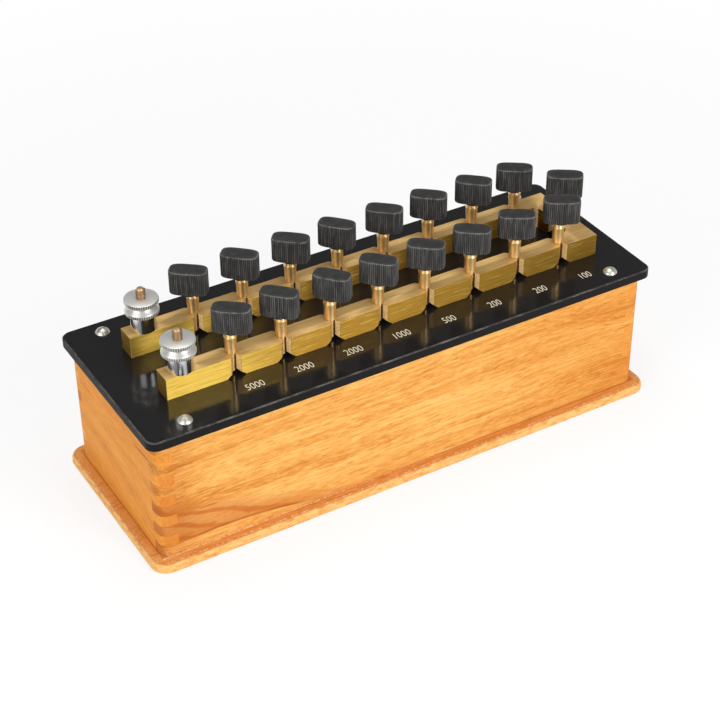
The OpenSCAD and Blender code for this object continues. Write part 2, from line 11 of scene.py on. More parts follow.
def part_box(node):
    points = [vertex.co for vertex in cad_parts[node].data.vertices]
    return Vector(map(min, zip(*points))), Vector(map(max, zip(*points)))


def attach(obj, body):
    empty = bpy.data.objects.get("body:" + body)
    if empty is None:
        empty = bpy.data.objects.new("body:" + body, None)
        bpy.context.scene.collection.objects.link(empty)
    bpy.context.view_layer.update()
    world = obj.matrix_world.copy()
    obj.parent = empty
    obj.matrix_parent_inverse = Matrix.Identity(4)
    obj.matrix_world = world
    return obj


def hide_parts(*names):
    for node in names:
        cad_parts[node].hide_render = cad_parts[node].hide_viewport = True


bl_info = {
    "name": "Plug Resistance Box",
    "version": (1, 0, 0),
    "blender": (4, 5, 0),
    "location": "3D View > Sidebar > Resistance Box",
    "description": "Dresses the solids of a plug resistance box and sets its stage",
    "category": "Object",
}

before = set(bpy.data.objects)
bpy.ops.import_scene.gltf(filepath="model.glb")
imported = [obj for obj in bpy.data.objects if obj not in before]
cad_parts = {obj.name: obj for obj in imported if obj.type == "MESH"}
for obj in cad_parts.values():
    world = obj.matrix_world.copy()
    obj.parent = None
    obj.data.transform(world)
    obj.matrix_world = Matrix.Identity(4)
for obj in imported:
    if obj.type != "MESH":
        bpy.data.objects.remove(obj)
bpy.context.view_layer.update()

MM = 0.001
BOX = "box"
# Distances within which the vertices of a copied solid and of a spun profile are merged
COPY_MERGE = 0.001 * MM
SPIN_MERGE = 0.0001 * MM
# Angles in degrees from which edges are drawn sharp, on round pieces and on pieces with eased edges
ROUND_SHARP = 32
EASED_SHARP = 15
# Gap between the top of a thumb nut and the thread above it
STUD_GAP = 0.1 * MM
# Recess of the flat rings on the nuts and knobs, because two level rings give a skin no direction
RECESS = 0.05 * MM
PLUG_NUMBERS = [f"{i:02d}" for i in range(1, 18)]
FRONT_PLUGS = PLUG_NUMBERS[:8]
FRONT_VALUES = ("5000", "2000", "2000", "1000", "500", "200", "200", "100")
# How far each number stands off its even line towards the rear, as punched by hand, in millimetres
NUMBER_SHIFTS = (-0.8, 0.3, 0.4, 0.6, 0.1, 0.4, -0.3, -0.8)
WALL_LOW, WALL_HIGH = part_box("front_wall")
SIDE_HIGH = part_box("left_wall")[1]
PANEL_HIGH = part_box("top_panel")[1]
BLOCKS_LOW, BLOCKS_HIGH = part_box("front_row_blocks")


def middle(node):
    """Middle of a solid's box."""
    low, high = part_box(node)
    return (low + high) / 2


def length(name, description, value_mm):
    """A length that a user may change, given in millimetres."""
    default = value_mm * MM
    return FloatProperty(name=name, description=description, default=default, unit="LENGTH", precision=5)


def colour(name, place, value):
    """A colour that a user may change, and the place that has it."""
    description = f"Colour of the {place}"
    return FloatVectorProperty(
        name=name, description=description, default=value, subtype="COLOR", min=0, max=1,
    )


def angle(name, description, degrees):
    """An angle that a user may change, given in degrees."""
    default = math.radians(degrees)
    return FloatProperty(name=name, description=description, default=default, subtype="ANGLE")


def ratio(name, description, value):
    """A plain number that a user may change."""
    return FloatProperty(name=name, description=description, default=value)


def whole(name, description, value, least):
    """A whole number that a user may change."""
    return IntProperty(name=name, description=description, default=value, min=least)


class CaseSettings(bpy.types.PropertyGroup):
    light: colour("Light wood", "palest grain of the case", (0.81, 0.475, 0.150))
    main: colour("Wood", "main grain of the case", (0.74, 0.350, 0.080))
    dark: colour("Dark wood", "darker grain of the case", (0.58, 0.215, 0.036))
    line: colour("Dark lines", "darkest lines in the wood", (0.36, 0.085, 0.014))
    flame: colour("Flame", "reddish flame in the front wall", (0.50, 0.142, 0.026))
    side: colour("Side wood", "main grain of the left and right walls", (0.72, 0.270, 0.040))
    side_light: colour("Light side wood", "palest grain of those walls", (0.75, 0.335, 0.062))
    base_main: colour("Base wood", "main grain of the base board", (0.76, 0.300, 0.080))
    # The nose's colour is partly wear and partly a painted highlight
    nose: colour("Worn nose", "worn nose of the base board", (0.84, 0.50, 0.175))
    finger_count: whole("Fingers", "Fingers and notches up each corner", 11, 3)
    edge: length("Joint edge", "Ease on the edges of the walls, which draws the joints", 0.10)


class PanelSettings(bpy.types.PropertyGroup):
    main: colour("Ebonite", "panel", (0.0060, 0.0060, 0.0064))
    worn: colour("Worn edge", "panel's worn bevel", (0.11, 0.10, 0.09))
    digit_colour: colour("Numbers", "filled numbers", (0.86, 0.80, 0.64))
    digit_height: length("Number height", "Height of the digits", 4.6)
    digit_width: ratio("Number width", "Width of the digits against their font", 0.72)
    digit_shift: length("Number shift", "Distance of a number to the right of its plug", 3.8)
    digit_gap: length("Number gap", "Distance from the front blocks to the middle of the numbers", 10.3)
    digit_slant: ratio("Number slant", "Fall of the row of numbers to the right", 0.0195)
    digit_rise: length("Number rise", "Height of the filling above the panel", 0.03)


class BrassSettings(bpy.types.PropertyGroup):
    block: colour("Block brass", "bright sides of the blocks", (0.70, 0.47, 0.082))
    # Sides at the right are darker: this colour is painted shade
    painted_shade_brass: colour("Shaded brass", "sides where they are shaded", (0.40, 0.220, 0.030))
    block_top: colour("Block top", "duller tops of the blocks", (0.78, 0.50, 0.185))
    chamfer: colour("Block chamfer", "paler chamfers beside the gaps", (0.86, 0.56, 0.25))
    shine: colour("Bright streaks", "brighter streaks on the blocks", (0.98, 0.74, 0.24))
    streak: colour("Brass streaks", "darker streaks on the blocks", (0.25, 0.14, 0.022))
    pin: colour("Pin brass", "plug pins", (1.0, 0.68, 0.29))
    stud: colour("Stud brass", "threaded studs", (0.66, 0.44, 0.24))
    edge: length("Block edge", "Ease on the edges of the blocks", 0.08)
    pin_d: length("Pin diameter", "Diameter of a pin where it enters the blocks", 4.7)
    pin_taper: ratio("Pin taper", "Diameter that a pin gains for its height", 0.08)
    pin_ease: length("Pin ease", "Ease on the edges of a pin's tip and ring", 0.35)
    ring_d: length("Ring diameter", "Diameter of the ring under a knob", 6.1)
    pin_foot_d: length("Pin foot", "Diameter of a pin just above the blocks", 5.2)
    pin_top_d: length("Pin top", "Diameter of a pin under its ring", 5.7)
    ring_drop: length("Ring drop", "Distance from a knob down to the pin's ring", 2.4)
    neck_d: length("Neck diameter", "Diameter of a pin between its ring and the knob", 5.4)
    stem_d: length("Stem diameter", "Diameter of the stem inside a knob", 4.0)
    stud_core_d: length("Stud core", "Diameter of a stud inside the pieces on it", 4.0)
    thread_pitch: length("Thread pitch", "Rise of the studs' thread in one turn", 0.8)
    thread_depth: length("Thread depth", "Depth of the studs' thread", 0.35)


class KnobSettings(bpy.types.PropertyGroup):
    main: colour("Knob", "knobs", (0.0215, 0.0208, 0.0200))
    # The dust colour also paints a highlight on the crests of the ribs
    dust: colour("Dust", "dust and wear on the knobs", (0.19, 0.185, 0.175))
    rib_count: whole("Ribs", "Upright ribs round a knob", 52, 24)
    rib_depth: length("Rib depth", "Depth between the ribs", 0.38)
    squareness: ratio("Squareness", "Squareness of a knob's oval outline", 3.6)
    edge: length("Knob edge", "Size of the rounded edges of a knob", 0.6)
    dome: length("Knob dome", "Rise of the knob's top from its edge to its middle", 0.12)
    boss_d: length("Boss", "Diameter of the boss under a knob", 8.2)
    boss_h: length("Boss height", "Height of the boss under a knob", 0.6)


class NutSettings(bpy.types.PropertyGroup):
    main: colour("Nickel", "thumb nuts", (0.80, 0.795, 0.75))
    # Colour of the painted shade in the knurl and in the groove under the upper rim
    grime: colour("Shading", "grime in the knurl and the groove", (0.16, 0.13, 0.10))
    chrome: colour("Bright plate", "collars", (0.82, 0.82, 0.83))
    teeth: whole("Teeth", "Teeth round the knurled rims of a thumb nut", 46, 24)
    tooth_depth: length("Tooth depth", "Depth of the knurl", 0.50)
    bore_d: length("Bore", "Diameter of the bores of the nuts and the collars", 4.1)


class StageSettings(bpy.types.PropertyGroup):
    lens: FloatProperty(name="Lens", description="Focal length", default=91.262, unit="CAMERA")
    azimuth: angle("Azimuth", "Turn of the camera about the box", -30.422)
    elevation: angle("Elevation", "Height angle of the camera", 35.601)
    roll: angle("Roll", "Roll of the camera", -0.472)
    distance: length("Distance", "Distance from the camera to its target", 881.469)
    target: FloatVectorProperty(
        name="Target", description="Point that the camera looks at", subtype="TRANSLATION",
        default=(3.848 * MM, 9.776 * MM, 29.997 * MM),
    )
    floor_size: length("Floor", "Width of the floor", 8000)
    floor: colour("Floor colour", "floor", (0.9, 0.9, 0.9))


class Wire:
    """A shader socket that can be used in sums."""

    def __init__(self, tree, socket):
        self.tree = tree
        self.socket = socket

    def maths(self, operation, *others):
        """Result of a Math node on this value and the others."""
        node = self.tree.nodes.new("ShaderNodeMath")
        node.operation = operation
        for socket, value in zip(node.inputs, (self, *others)):
            feed(self.tree, socket, value)
        return Wire(self.tree, node.outputs[0])

    def __add__(self, other):
        return self.maths("ADD", other)

    def __sub__(self, other):
        return self.maths("SUBTRACT", other)

    def __rsub__(self, other):
        return self.maths("MULTIPLY_ADD", -1.0, other)

    def __mul__(self, other):
        return self.maths("MULTIPLY", other)

    def __truediv__(self, other):
        return self.maths("DIVIDE", other)

    def __abs__(self):
        return self.maths("ABSOLUTE")

    __radd__ = __add__
    __rmul__ = __mul__


def feed(tree, socket, value):
    """Links a wire to a socket, or sets the socket's own value."""
    if isinstance(value, Wire):
        tree.links.new(value.socket, socket)
    elif socket.type == "RGBA" and len(value) == 3:
        socket.default_value = (*value, 1)
    else:
        socket.default_value = value


class Nodes:
    """A node tree that is being wired."""

    def __init__(self, tree):
        self.tree = tree

    def node(self, kind, settings, sockets, out=0):
        """Adds a node of any kind, with its settings set first, and returns one of its outputs."""
        node = self.tree.nodes.new(kind)
        for name, value in settings.items():
            if name == "stops":
                fill_ramp(node.color_ramp, value)
            else:
                setattr(node, name, value)
        for name, value in sockets.items():
            feed(self.tree, node.inputs[name], value)
        return Wire(self.tree, node.outputs[out])

    def mix(self, share, first, second, how="MIX"):
        """The first colour with a share of the second, blended in the given way."""
        settings = {"data_type": "RGBA", "blend_type": how}
        return self.node("ShaderNodeMix", settings, {0: share, 6: first, 7: second}, out=2)

    def ramp(self, value, *stops):
        """Colour for a value, from stops of place and colour."""
        return self.node("ShaderNodeValToRGB", {"stops": stops}, {"Fac": value})

    def step(self, value, low, high):
        """0 below low and 1 above high, with a smooth rise between."""
        settings = {"interpolation_type": "SMOOTHSTEP"}
        return self.node("ShaderNodeMapRange", settings, {"Value": value, "From Min": low, "From Max": high})


def fill_ramp(ramp, stops):
    """Sets a colour ramp's stops from pairs of place and colour."""
    while len(ramp.elements) < len(stops):
        ramp.elements.new(1)
    for element, (place, tint) in zip(ramp.elements, stops):
        element.position = place
        element.color = (*tint, 1)


class Finish(Nodes):
    """A material that is being made, with the patterns that its surface uses."""

    def __init__(self, name, **constants):
        self.material = bpy.data.materials.new(name)
        self.material.use_nodes = True
        super().__init__(self.material.node_tree)
        self.shader = self.tree.nodes["Principled BSDF"]
        for socket, value in constants.items():
            feed(self.tree, self.shader.inputs[socket.replace("_", " ").title().replace("Ior", "IOR")], value)

    def place(self, turn=(0, 0, 0), shift=(0, 0, 0)):
        """Place on the object in millimetres, turned by angles in degrees and then shifted."""
        spot = self.node("ShaderNodeTexCoord", {}, {}, out=3)
        angles = tuple(math.radians(a) for a in turn)
        sockets = {"Vector": spot, "Location": shift, "Rotation": angles, "Scale": (1 / MM,) * 3}
        return self.node("ShaderNodeMapping", {}, sockets)

    def moved(self, vector, x, y, z):
        """A place moved along each axis, in millimetres."""
        step = self.node("ShaderNodeCombineXYZ", {}, {"X": x, "Y": y, "Z": z})
        return self.node("ShaderNodeVectorMath", {"operation": "ADD"}, {0: vector, 1: step})

    def axes(self, vector):
        """The three numbers of a vector."""
        node = self.node("ShaderNodeSeparateXYZ", {}, {"Vector": vector}).socket.node
        return [Wire(self.tree, socket) for socket in node.outputs]

    def facing(self):
        """The three numbers of the direction that the surface faces."""
        return self.axes(self.node("ShaderNodeTexCoord", {}, {}, out=1))

    def noise(self, vector, size, detail=2.0, rough=0.5, seed=0.0):
        """Noise from 0 to 1 whose blotches have the given size along each axis, in millimetres."""
        shares = tuple(1 / s for s in size)
        stretched = self.node("ShaderNodeVectorMath", {"operation": "MULTIPLY"}, {0: vector, 1: shares})
        sockets = {"Vector": stretched, "W": seed, "Scale": 1.0, "Detail": detail, "Roughness": rough}
        return self.node("ShaderNodeTexNoise", {"noise_dimensions": "4D"}, sockets)

    def attribute(self, name):
        """A number that the piece's vertices carry."""
        return self.node("ShaderNodeAttribute", {"attribute_name": name}, {}, out=2)

    def bump(self, height, depth_mm, strength=1.0):
        """Roughens the surface by a height, with its depth in millimetres."""
        sockets = {"Height": height, "Distance": depth_mm * MM, "Strength": strength}
        self.set(normal=self.node("ShaderNodeBump", {}, sockets))

    def set(self, **wires):
        """Links what varies over the surface to the shader."""
        for name, wire in wires.items():
            feed(self.tree, self.shader.inputs[name.replace("_", " ").title()], wire)


def wood(finish, spot, light, main, dark, line, seed):
    """Varnished wood whose grain runs along X: bands, streaks, fibres, pale flecks and short dark pores."""
    drift = (finish.noise(spot, (130, 40, 40), 2.0, 0.5, seed) - 0.5) * 16
    grain = finish.moved(spot, 0.0, drift, drift)
    bands = finish.noise(grain, (220, 10, 10), 3.0, 0.55, seed + 1)
    streaks = finish.noise(grain, (45, 1.4, 1.4), 4.0, 0.65, seed + 2)
    fibres = finish.noise(grain, (7, 0.9, 0.9), 3.0, 0.7, seed + 3)
    pores = finish.step(finish.noise(grain, (5, 0.8, 0.8), 1.0, 0.5, seed + 4), 0.64, 0.72)
    flecks = finish.step(finish.noise(grain, (7, 1.5, 1.5), 3.0, 0.7, seed + 5), 0.56, 0.62)
    cracks = finish.step(finish.noise(grain, (16, 1.0, 1.0), 2.0, 0.5, seed + 6), 0.65, 0.69)
    tone = 0.52 + (bands - 0.5) * 1.3 + (streaks - 0.5) * 1.1 + (fibres - 0.5) * 1.3
    tint = finish.ramp(tone, (0.18, dark), (0.50, main), (0.82, light))
    tint = finish.mix(flecks * 0.5, tint, light)
    tint = finish.mix(pores * 0.6, tint, dark)
    tint = finish.mix(cracks * 0.55, tint, line)
    finish.streaks = streaks
    finish.set(roughness=0.42 + streaks * 0.14 + pores * 0.15)
    finish.bump(fibres - pores * 0.8 - cracks, 0.10, 0.6)
    return tint


def finger_ends(finish, tint, settings, grain_axis, deep, seed):
    """Shades the end grain of the fingers, each one differently."""
    ends = finish.step(abs(finish.facing()[grain_axis]), 0.55, 0.85)
    finger_h = (WALL_HIGH.z - WALL_LOW.z) / settings.finger_count / MM
    up = finish.axes(finish.place(shift=(0, 0, -WALL_LOW.z / MM)))[2]
    finger = (up / finger_h).maths("FLOOR")
    shade = finish.node("ShaderNodeTexWhiteNoise", {"noise_dimensions": "1D"}, {"W": finger + seed})
    tint = finish.mix(ends * finish.step(shade, 0.25, 0.75) * 0.5, tint, deep)
    return finish.mix(ends * (1 - finish.step(shade, 0.0, 0.3)) * 0.5, tint, settings.light)


def wooden(name):
    """A finish with the gloss of old varnish."""
    return Finish(name, specular_ior_level=0.06)


def long_wood(name, settings, deep, seed):
    """Wood of a long wall, with some finger ends in a deep colour."""
    finish = wooden(name)
    tint = wood(finish, finish.place(), settings.light, settings.main, settings.dark, settings.line, seed)
    finish.tint = finger_ends(finish, tint, settings, 0, deep, seed)
    finish.set(base_color=finish.tint)
    return finish


def front_wood(settings):
    """Wood of the front wall, with a reddish flame low on its left, a dark line under it, and painted shade
    towards the upper right and at its left corner.
    """
    flame_x, flame_z, flame_fall = -28.7, 5.7, 0.325
    arc_x, arc_z, arc_bend = -100, 11.5, 0.0025
    finish = long_wood("front_wood", settings, settings.flame, 3.0)
    x, _, z = finish.axes(finish.place())
    wander = (finish.noise(finish.place(), (30, 60, 9), 3.0, 0.6, 9.0) - 0.5) * 9
    roof = flame_z - (x - flame_x) * flame_fall
    off_arc = x - arc_x
    arc = arc_z - off_arc * off_arc * arc_bend
    under = finish.step(roof - z + wander + (finish.streaks - 0.5) * 14, -1.0, 8.0)
    over = finish.step(z - arc, -0.4, 0.6)
    rings = finish.step(((roof - z + wander) * 0.9).maths("SINE"), 0.1, 0.9) * 0.35
    tint = finish.mix(under * over * (0.25 + finish.streaks * 0.6 + rings), finish.tint, settings.flame)
    reach = finish.step(x, -119, -108) * (1 - finish.step(x, -66, -54))
    near = 1 - finish.step(abs(z - arc - wander * 0.06), 0.15, 0.85)
    tint = finish.mix(near * reach * 0.8, tint, settings.line)
    # Darker and redder towards the upper right: painted shade
    upper_right_shade = finish.step(x + z * 0.6, 10, 150) * 0.8
    tint = finish.mix(upper_right_shade, tint, (0.86, 0.70, 0.50), "MULTIPLY")
    # Darker near the left corner: painted shade
    corner = 1 - finish.step(x, -122, -104)
    finish.set(base_color=finish.mix(corner, tint, (0.86, 0.76, 0.70), "MULTIPLY"))
    return finish


def side_wood(name, settings, fan, seed):
    """Wood of a short wall, whose grain fans out below its level upper part."""
    finish = wooden(name)
    spot = finish.place((0, 0, 90))
    along, _, z = finish.axes(spot)
    fanned = finish.moved(spot, 0.0, 0.0, along * (1 - finish.step(z, 15, 52)) * fan)
    tint = wood(finish, fanned, settings.side_light, settings.side, settings.dark, settings.line, seed)
    finish.tint = finger_ends(finish, tint, settings, 1, settings.flame, seed)
    finish.set(base_color=finish.tint)
    return finish


def left_wood(settings):
    """Wood of the left wall, with a dark line below its top near the front."""
    line_drop, line_fall = 13.9, 0.055
    finish = side_wood("left_wood", settings, 0.31, 12.0)
    _, y, z = finish.axes(finish.place())
    drop = WALL_HIGH.z / MM - z
    near = 1 - finish.step(abs(drop - line_drop - y * line_fall), 0.2, 0.9)
    reach = (1 - finish.step(y, -27, -19)) * finish.step(y, -44, -41)
    finish.set(base_color=finish.mix(near * reach * 0.75, finish.tint, settings.line))
    return finish


def base_wood(settings):
    """Redder wood of the base board, with a nose that is pale partly from wear and partly from a painted
    highlight, pale dotted lines and a dark seam at the walls.
    """
    finish = wooden("base_wood")
    spot = finish.place()
    tint = wood(finish, spot, settings.main, settings.base_main, settings.dark, settings.line, 21.0)
    x, y, _ = finish.axes(spot)
    off_ends = abs(x) - WALL_HIGH.x / MM
    off_sides = abs(y) - SIDE_HIGH.y / MM
    off_walls = off_ends.maths("MAXIMUM", off_sides)
    up = finish.facing()[2]
    nose = 1 - finish.step(up, 0.80, 0.97)
    blotch = finish.noise(spot, (6, 6, 1.0), 4.0, 0.68, 5.0)
    dots = finish.noise(spot, (1.6, 1.6, 1.6), 2.0, 0.6, 7.0)
    # The pale nose is partly wear and partly a painted highlight
    worn = nose * (0.45 + finish.step(blotch, 0.38, 0.58) * 0.55)
    tint = finish.mix(worn, tint, settings.nose)
    mottle = finish.noise(spot, (5, 5, 1.6), 3.0, 0.7, 6.0)
    tint = finish.mix(nose * finish.step(mottle, 0.50, 0.60) * 0.6, tint, settings.dark)
    front = finish.step(off_sides, -0.2, 0.0) * (1 - finish.step(y, -10, 0))
    front_left = (1 - finish.step(x, -60, 40)) * front
    dust = front_left * (1 - finish.step(off_walls, 0.35, 0.70)) * finish.step(dots, 0.40, 0.58)
    seam = (1 - front_left) * (1 - finish.step(off_walls, 0.2, 0.9))
    rubbed = finish.step(up, 0.88, 0.93) * (1 - finish.step(up, 0.955, 0.985)) * finish.step(dots, 0.44, 0.62)
    tint = finish.mix(seam * 0.5, tint, settings.line)
    brow = finish.step(up, 0.70, 0.86) * (1 - finish.step(up, 0.96, 0.995))
    tint = finish.mix(brow * 0.55, tint, settings.flame)
    pale = (dust * 0.85 + rubbed * 0.45).maths("MINIMUM", 1.0)
    finish.set(base_color=finish.mix(pale, tint, (0.88, 0.74, 0.58)), roughness=0.30 + blotch * 0.2)
    return finish


def ebonite(settings):
    """Black panel, polished on top, with fine dust, rubbed marks and a worn bevel."""
    finish = Finish("panel_ebonite", specular_ior_level=0.12, coat_roughness=0.11, coat_ior=1.47)
    spot = finish.place()
    up = finish.facing()[2]
    top = finish.step(up, 0.93, 0.99)
    bevel = finish.step(up, 0.3, 0.6) * (1 - finish.step(up, 0.8, 0.95))
    dust = finish.step(finish.noise(spot, (0.8, 0.8, 0.8), 3.0, 0.7, 2.0), 0.66, 0.78)
    rubbed = finish.noise(spot, (22, 9, 9), 4.0, 0.6, 4.0)
    chips = finish.noise(spot, (7, 7, 2.5), 4.0, 0.65, 6.0)
    tint = finish.mix(dust * 0.05, settings.main, (0.5, 0.5, 0.48))
    tint = finish.mix(bevel * (0.25 + finish.step(chips, 0.42, 0.66) * 0.75), tint, settings.worn)
    finish.set(base_color=tint, roughness=0.40 + rubbed * 0.2, coat_weight=top)
    finish.bump(rubbed, 0.02, 0.15)
    return finish


def block_brass(settings):
    """Brass bar stock, brushed along its length, with a duller top, pale specks at its foot, and painted
    shade that darkens its sides to the right and its ends.
    """
    finish = Finish("block_brass", anisotropic=0.9, anisotropic_rotation=0.25)
    spot = finish.place()
    face_x, _, face_z = finish.facing()
    end = finish.step(abs(face_x), 0.85, 0.95)
    chamfer = finish.step(abs(face_x), 0.45, 0.60) * (1 - end)
    top = finish.step(face_z, 0.5, 0.9)
    along = finish.noise(spot, (16, 0.8, 0.8), 3.0, 0.7, 1.0)
    across = finish.noise(spot, (0.8, 16, 0.8), 3.0, 0.7, 2.0)
    brushed = along * (1 - end) + across * end
    stain = finish.noise(spot, (20, 5, 2.4), 4.0, 0.65, 3.0)
    # The sides darken from the left to the right: painted shade
    sides = finish.mix(finish.step(finish.axes(spot)[0], -95, -40), settings.block, settings.painted_shade_brass)
    # The end faces are darkened: painted shade
    sides = finish.mix(end * 0.9, sides, (0.46, 0.38, 0.28), "MULTIPLY")
    sides = finish.mix(chamfer * 0.85, sides, settings.chamfer)
    tint = finish.mix(top, sides, settings.block_top)
    tint = finish.mix(finish.step(brushed, 0.48, 0.66) * (0.42 - top * 0.15), tint, settings.streak)
    tint = finish.mix((1 - finish.step(brushed, 0.34, 0.46)) * 0.35, tint, settings.shine)
    tint = finish.mix(finish.step(stain, 0.50, 0.75) * 0.25, tint, settings.streak)
    height = finish.axes(spot)[2] - PANEL_HIGH.z / MM
    foot = 1 - finish.step(height, 0.6, 1.8)
    speck = finish.step(finish.noise(spot, (1.1, 1.1, 0.5), 3.0, 0.7, 8.0), 0.66, 0.72) * foot
    tint = finish.mix(speck * 0.8, tint, (0.9, 0.85, 0.7))
    metal = 0.95 - top * 0.45 - speck * 0.4 - chamfer * 0.4
    finish.set(base_color=tint, metallic=metal, roughness=0.45 + (brushed - 0.5) * 0.2)
    finish.bump(brushed, 0.3, 0.5)
    return finish


def turned_brass(name, tint, rough, stretch):
    """Turned brass with fine rings round it."""
    finish = Finish(name, metallic=0.92, anisotropic=stretch, anisotropic_rotation=0.25)
    spot = finish.place()
    rings = finish.noise(spot, (9, 9, 0.30), 3.0, 0.65, 1.0)
    dull = finish.noise(spot, (4, 4, 5), 3.0, 0.6, 4.0)
    shade = finish.mix(finish.step(dull, 0.45, 0.75) * 0.25, tint, tuple(c * 0.55 for c in tint))
    shade = finish.mix(finish.step(rings, 0.45, 0.70) * 0.35, shade, tuple(c * 0.5 for c in tint))
    # Darker where the vertices carry painted shade, as in the valleys of a stud's thread
    shade = finish.mix(finish.attribute("grime") * 0.65, shade, tuple(c * 0.3 for c in tint))
    finish.set(base_color=shade, roughness=rough + (rings - 0.5) * 0.2)
    finish.bump(rings, 0.2, 0.5)
    return finish


def knob_ebonite(settings):
    """Dull black moulded knob, with dust and a painted highlight on its ribs and a worn upper edge."""
    finish = Finish("knob_ebonite", specular_ior_level=0.35)
    spot = finish.place()
    crest = finish.attribute("crest")
    edge = finish.attribute("edge")
    patches = finish.noise(spot, (3.5, 3.5, 5), 4.0, 0.65, 1.0)
    streaks = finish.noise(spot, (0.9, 0.9, 9), 2.0, 0.5, 2.0)
    grit = finish.noise(spot, (0.45, 0.45, 0.45), 2.0, 0.6, 3.0)
    worn = edge * finish.step(patches, 0.32, 0.60) * 0.9
    # Paler crests of the ribs: dust and a painted highlight
    crest_dust_and_highlight = crest * (0.12 + finish.step(streaks, 0.42, 0.68) * 0.5)
    film = finish.step(patches, 0.40, 0.80) * 0.14 + finish.step(grit, 0.66, 0.76) * 0.2
    tint = finish.mix((worn + crest_dust_and_highlight + film).maths("MINIMUM", 1.0), settings.main, settings.dust)
    finish.set(base_color=tint, roughness=0.48 + patches * 0.2)
    finish.bump(grit + patches, 0.08, 0.4)
    return finish


def plated(name, tint, metallic, rough, marks, stretch=0.0):
    """Plated metal with faint turned rings and handling marks."""
    finish = Finish(name, metallic=metallic, anisotropic=stretch, anisotropic_rotation=0.25)
    spot = finish.place()
    rings = finish.noise(spot, (7, 7, 0.25), 2.0, 0.5, 1.0)
    smears = finish.noise(spot, (4, 4, 4), 4.0, 0.6, 2.0)
    finish.tint = finish.mix(finish.step(smears, 0.45, 0.8) * marks, tint, tuple(c * 0.6 for c in tint))
    finish.set(base_color=finish.tint, roughness=rough + smears * marks * 0.3 + (rings - 0.5) * 0.08)
    return finish


def nut_nickel(settings):
    """Satin nickel with painted shade in the knurl and the groove."""
    finish = plated("nut_nickel", tuple(settings.main), 0.65, 0.32, 0.2)
    # Painted shade in the knurl and the groove
    grime = finish.attribute("grime")
    finish.set(base_color=finish.mix(grime, finish.tint, settings.grime))
    return finish


def plain_finish(name, tint, second, size, metallic, rough):
    """A finish of two close tints in soft blotches, for the numbers and for what lies inside the case."""
    finish = Finish(name, metallic=metallic)
    blotch = finish.noise(finish.place(), size, 3.0, 0.6, 1.0)
    finish.set(base_color=finish.mix(blotch, tint, second), roughness=rough + (blotch - 0.5) * 0.2)
    finish.bump(blotch, 0.05, 0.4)
    return finish


def dress(material, *nodes):
    """Gives solids a material."""
    for node in nodes:
        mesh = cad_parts[node].data
        mesh.materials.clear()
        mesh.materials.append(material)


def add_object(name, data):
    """Puts a new object in the scene."""
    made = bpy.data.objects.new(name, data)
    bpy.context.scene.collection.objects.link(made)
    return made


def add_piece(name, bm, material, body, slot, *nodes, sharp=ROUND_SHARP):
    """Makes a piece of a finished bmesh, which rides on a body and stands for the nodes."""
    mesh = bpy.data.meshes.new(name)
    bm.to_mesh(mesh)
    bm.free()
    mesh.materials.append(material)
    mesh.shade_smooth()
    mesh.set_sharp_from_angle(angle=math.radians(sharp))
    piece = add_object(name, mesh)
    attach(piece, body)
    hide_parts(*nodes)


def eased_copy(node, width):
    """Copy of a solid with its longer edges eased."""
    flat_angle, edge_angle = math.radians(1), math.radians(30)
    shortest = 1 * MM
    bm = bmesh.new()
    bm.from_mesh(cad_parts[node].data)
    bmesh.ops.remove_doubles(bm, verts=bm.verts, dist=COPY_MERGE)
    bmesh.ops.dissolve_limit(bm, angle_limit=flat_angle, verts=bm.verts, edges=bm.edges)
    sharp = [e for e in bm.edges if e.is_manifold and e.calc_face_angle() > edge_angle]
    longer = [e for e in sharp if e.calc_length() > shortest]
    bmesh.ops.bevel(
        bm, geom=longer, offset=width, offset_type="OFFSET", segments=1, profile=0.5,
        affect="EDGES", clamp_overlap=True, material=-1,
    )
    return bm


def add_ring(bm, points):
    """A closed ring of edges through the points, with its vertices."""
    made = bmesh.ops.create_circle(bm, cap_ends=False, segments=len(points), radius=1)
    for vert, point in zip(made["verts"], points):
        vert.co = point
    edges = list(dict.fromkeys(edge for vert in made["verts"] for edge in vert.link_edges))
    return made["verts"], edges


def bridge(bm, rings):
    """Skins the rings in turn."""
    for (_, lower), (_, upper) in zip(rings, rings[1:]):
        bmesh.ops.bridge_loops(bm, edges=lower + upper)


def round_points(centre, radii, z):
    """Points round a centre, one for each radius."""
    turn = 2 * math.pi / len(radii)
    return [
        (centre.x + r * math.cos(i * turn), centre.y + r * math.sin(i * turn), z)
        for i, r in enumerate(radii)
    ]


def spin_profile(bm, centre, profile, steps):
    """Spins a profile of radius and height pairs round an upright axis, and turns its faces outwards."""
    verts = [bm.verts.new((centre.x + r, centre.y, z)) for r, z in profile]
    edges = [bm.edges.new(pair) for pair in zip(verts, verts[1:])]
    bmesh.ops.spin(
        bm, geom=verts + edges, cent=(centre.x, centre.y, 0), axis=(0, 0, 1), dvec=(0, 0, 0),
        angle=2 * math.pi, steps=steps, use_merge=True, use_duplicate=False,
    )
    bmesh.ops.remove_doubles(bm, verts=bm.verts, dist=SPIN_MERGE)
    bmesh.ops.recalc_face_normals(bm, faces=bm.faces)


def oval_point(angle, half_length, half_width, squareness):
    """Point of a knob's squarish oval outline."""
    power = 2 / squareness
    c, s = math.cos(angle), math.sin(angle)
    return Vector((
        half_length * math.copysign(abs(c) ** power, c),
        half_width * math.copysign(abs(s) ** power, s),
    ))


def even_angles(half_length, half_width, squareness, count):
    """Angles at which points of the oval are evenly spaced along its edge."""
    steps = 4000
    angles = [2 * math.pi * i / steps for i in range(steps + 1)]
    points = [oval_point(a, half_length, half_width, squareness) for a in angles]
    lengths = [0.0]
    for here, there in zip(points, points[1:]):
        lengths.append(lengths[-1] + (there - here).length)
    found = []
    place = 0
    for i in range(count):
        while lengths[place] < lengths[-1] * i / count:
            place += 1
        found.append(angles[place])
    return found


